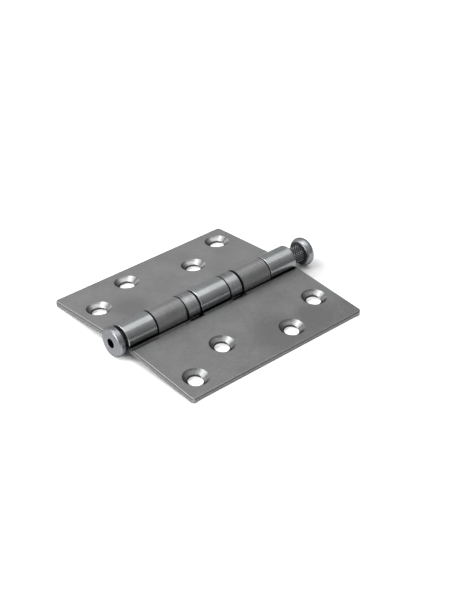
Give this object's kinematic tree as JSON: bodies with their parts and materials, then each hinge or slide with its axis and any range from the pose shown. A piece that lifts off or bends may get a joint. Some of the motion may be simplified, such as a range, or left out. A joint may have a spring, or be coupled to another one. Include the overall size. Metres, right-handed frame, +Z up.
{
  "type": "ball bearing butt hinge",
  "caption": "Butt hinge of rolled steel with ball thrust bearings between its knuckles, countersunk screw holes, a pressed end plug and a loose pin drawn part of the way.",
  "frame": {"origin": "on the pin's axis, half way along the leaves", "axes": "+Y along the pin, from the end plug to the pin's head; +Z up, away from the leaves' backs; +X towards the leaf that carries the outer and middle knuckles"},
  "size_m": [0.0886, 0.1048, 0.0126],
  "materials": {
    "leaf_steel": "satin",
    "bearing_steel": "satin",
    "ball_steel": "polished",
    "plug_steel": "matte",
    "pin_steel": "satin"
  },
  "bodies": {
    "right_leaf": {"right_leaf": "leaf_steel", "end_plug": "plug_steel", "near_bearing_race": "bearing_steel", "far_bearing_shell": "bearing_steel"},
    "left_leaf": {"left_leaf": "leaf_steel", "near_bearing_shell": "bearing_steel", "far_bearing_race": "bearing_steel"},
    "pin": {"pin": "pin_steel"},
    "near_balls": {"near_bearing_ball_01": "ball_steel", "near_bearing_ball_02": "ball_steel", "near_bearing_ball_03": "ball_steel", "near_bearing_ball_04": "ball_steel", "near_bearing_ball_05": "ball_steel", "near_bearing_ball_06": "ball_steel", "near_bearing_ball_07": "ball_steel", "near_bearing_ball_08": "ball_steel", "near_bearing_ball_09": "ball_steel", "near_bearing_ball_10": "ball_steel", "near_bearing_ball_11": "ball_steel", "near_bearing_ball_12": "ball_steel", "near_bearing_ball_13": "ball_steel", "near_bearing_ball_14": "ball_steel"},
    "far_balls": {"far_bearing_ball_01": "ball_steel", "far_bearing_ball_02": "ball_steel", "far_bearing_ball_03": "ball_steel", "far_bearing_ball_04": "ball_steel", "far_bearing_ball_05": "ball_steel", "far_bearing_ball_06": "ball_steel", "far_bearing_ball_07": "ball_steel", "far_bearing_ball_08": "ball_steel", "far_bearing_ball_09": "ball_steel", "far_bearing_ball_10": "ball_steel", "far_bearing_ball_11": "ball_steel", "far_bearing_ball_12": "ball_steel", "far_bearing_ball_13": "ball_steel", "far_bearing_ball_14": "ball_steel"}
  },
  "joints": [
    {"name": "leaf_fold", "type": "hinge", "parent": "right_leaf", "child": "left_leaf", "pos_m": [0, 0, 0], "axis": [0, 1, 0], "range_deg": [-81.7, 188.3]},
    {"name": "pin_slide", "type": "slide", "parent": "right_leaf", "child": "pin", "axis": [0, 1, 0], "range_m": [-0.0071, 0.08]},
    {"name": "near_ball_roll", "type": "hinge", "parent": "right_leaf", "child": "near_balls", "pos_m": [0, 0, 0], "axis": [0, 1, 0], "range_deg": [-41.1, 94.4]},
    {"name": "far_ball_roll", "type": "hinge", "parent": "right_leaf", "child": "far_balls", "pos_m": [0, 0, 0], "axis": [0, 1, 0], "range_deg": [-41.1, 94.4]}
  ],
  "couplings": [
    {"joint": "near_ball_roll", "follows": "leaf_fold", "ratio": 0.5},
    {"joint": "far_ball_roll", "follows": "leaf_fold", "ratio": 0.5}
  ]
}
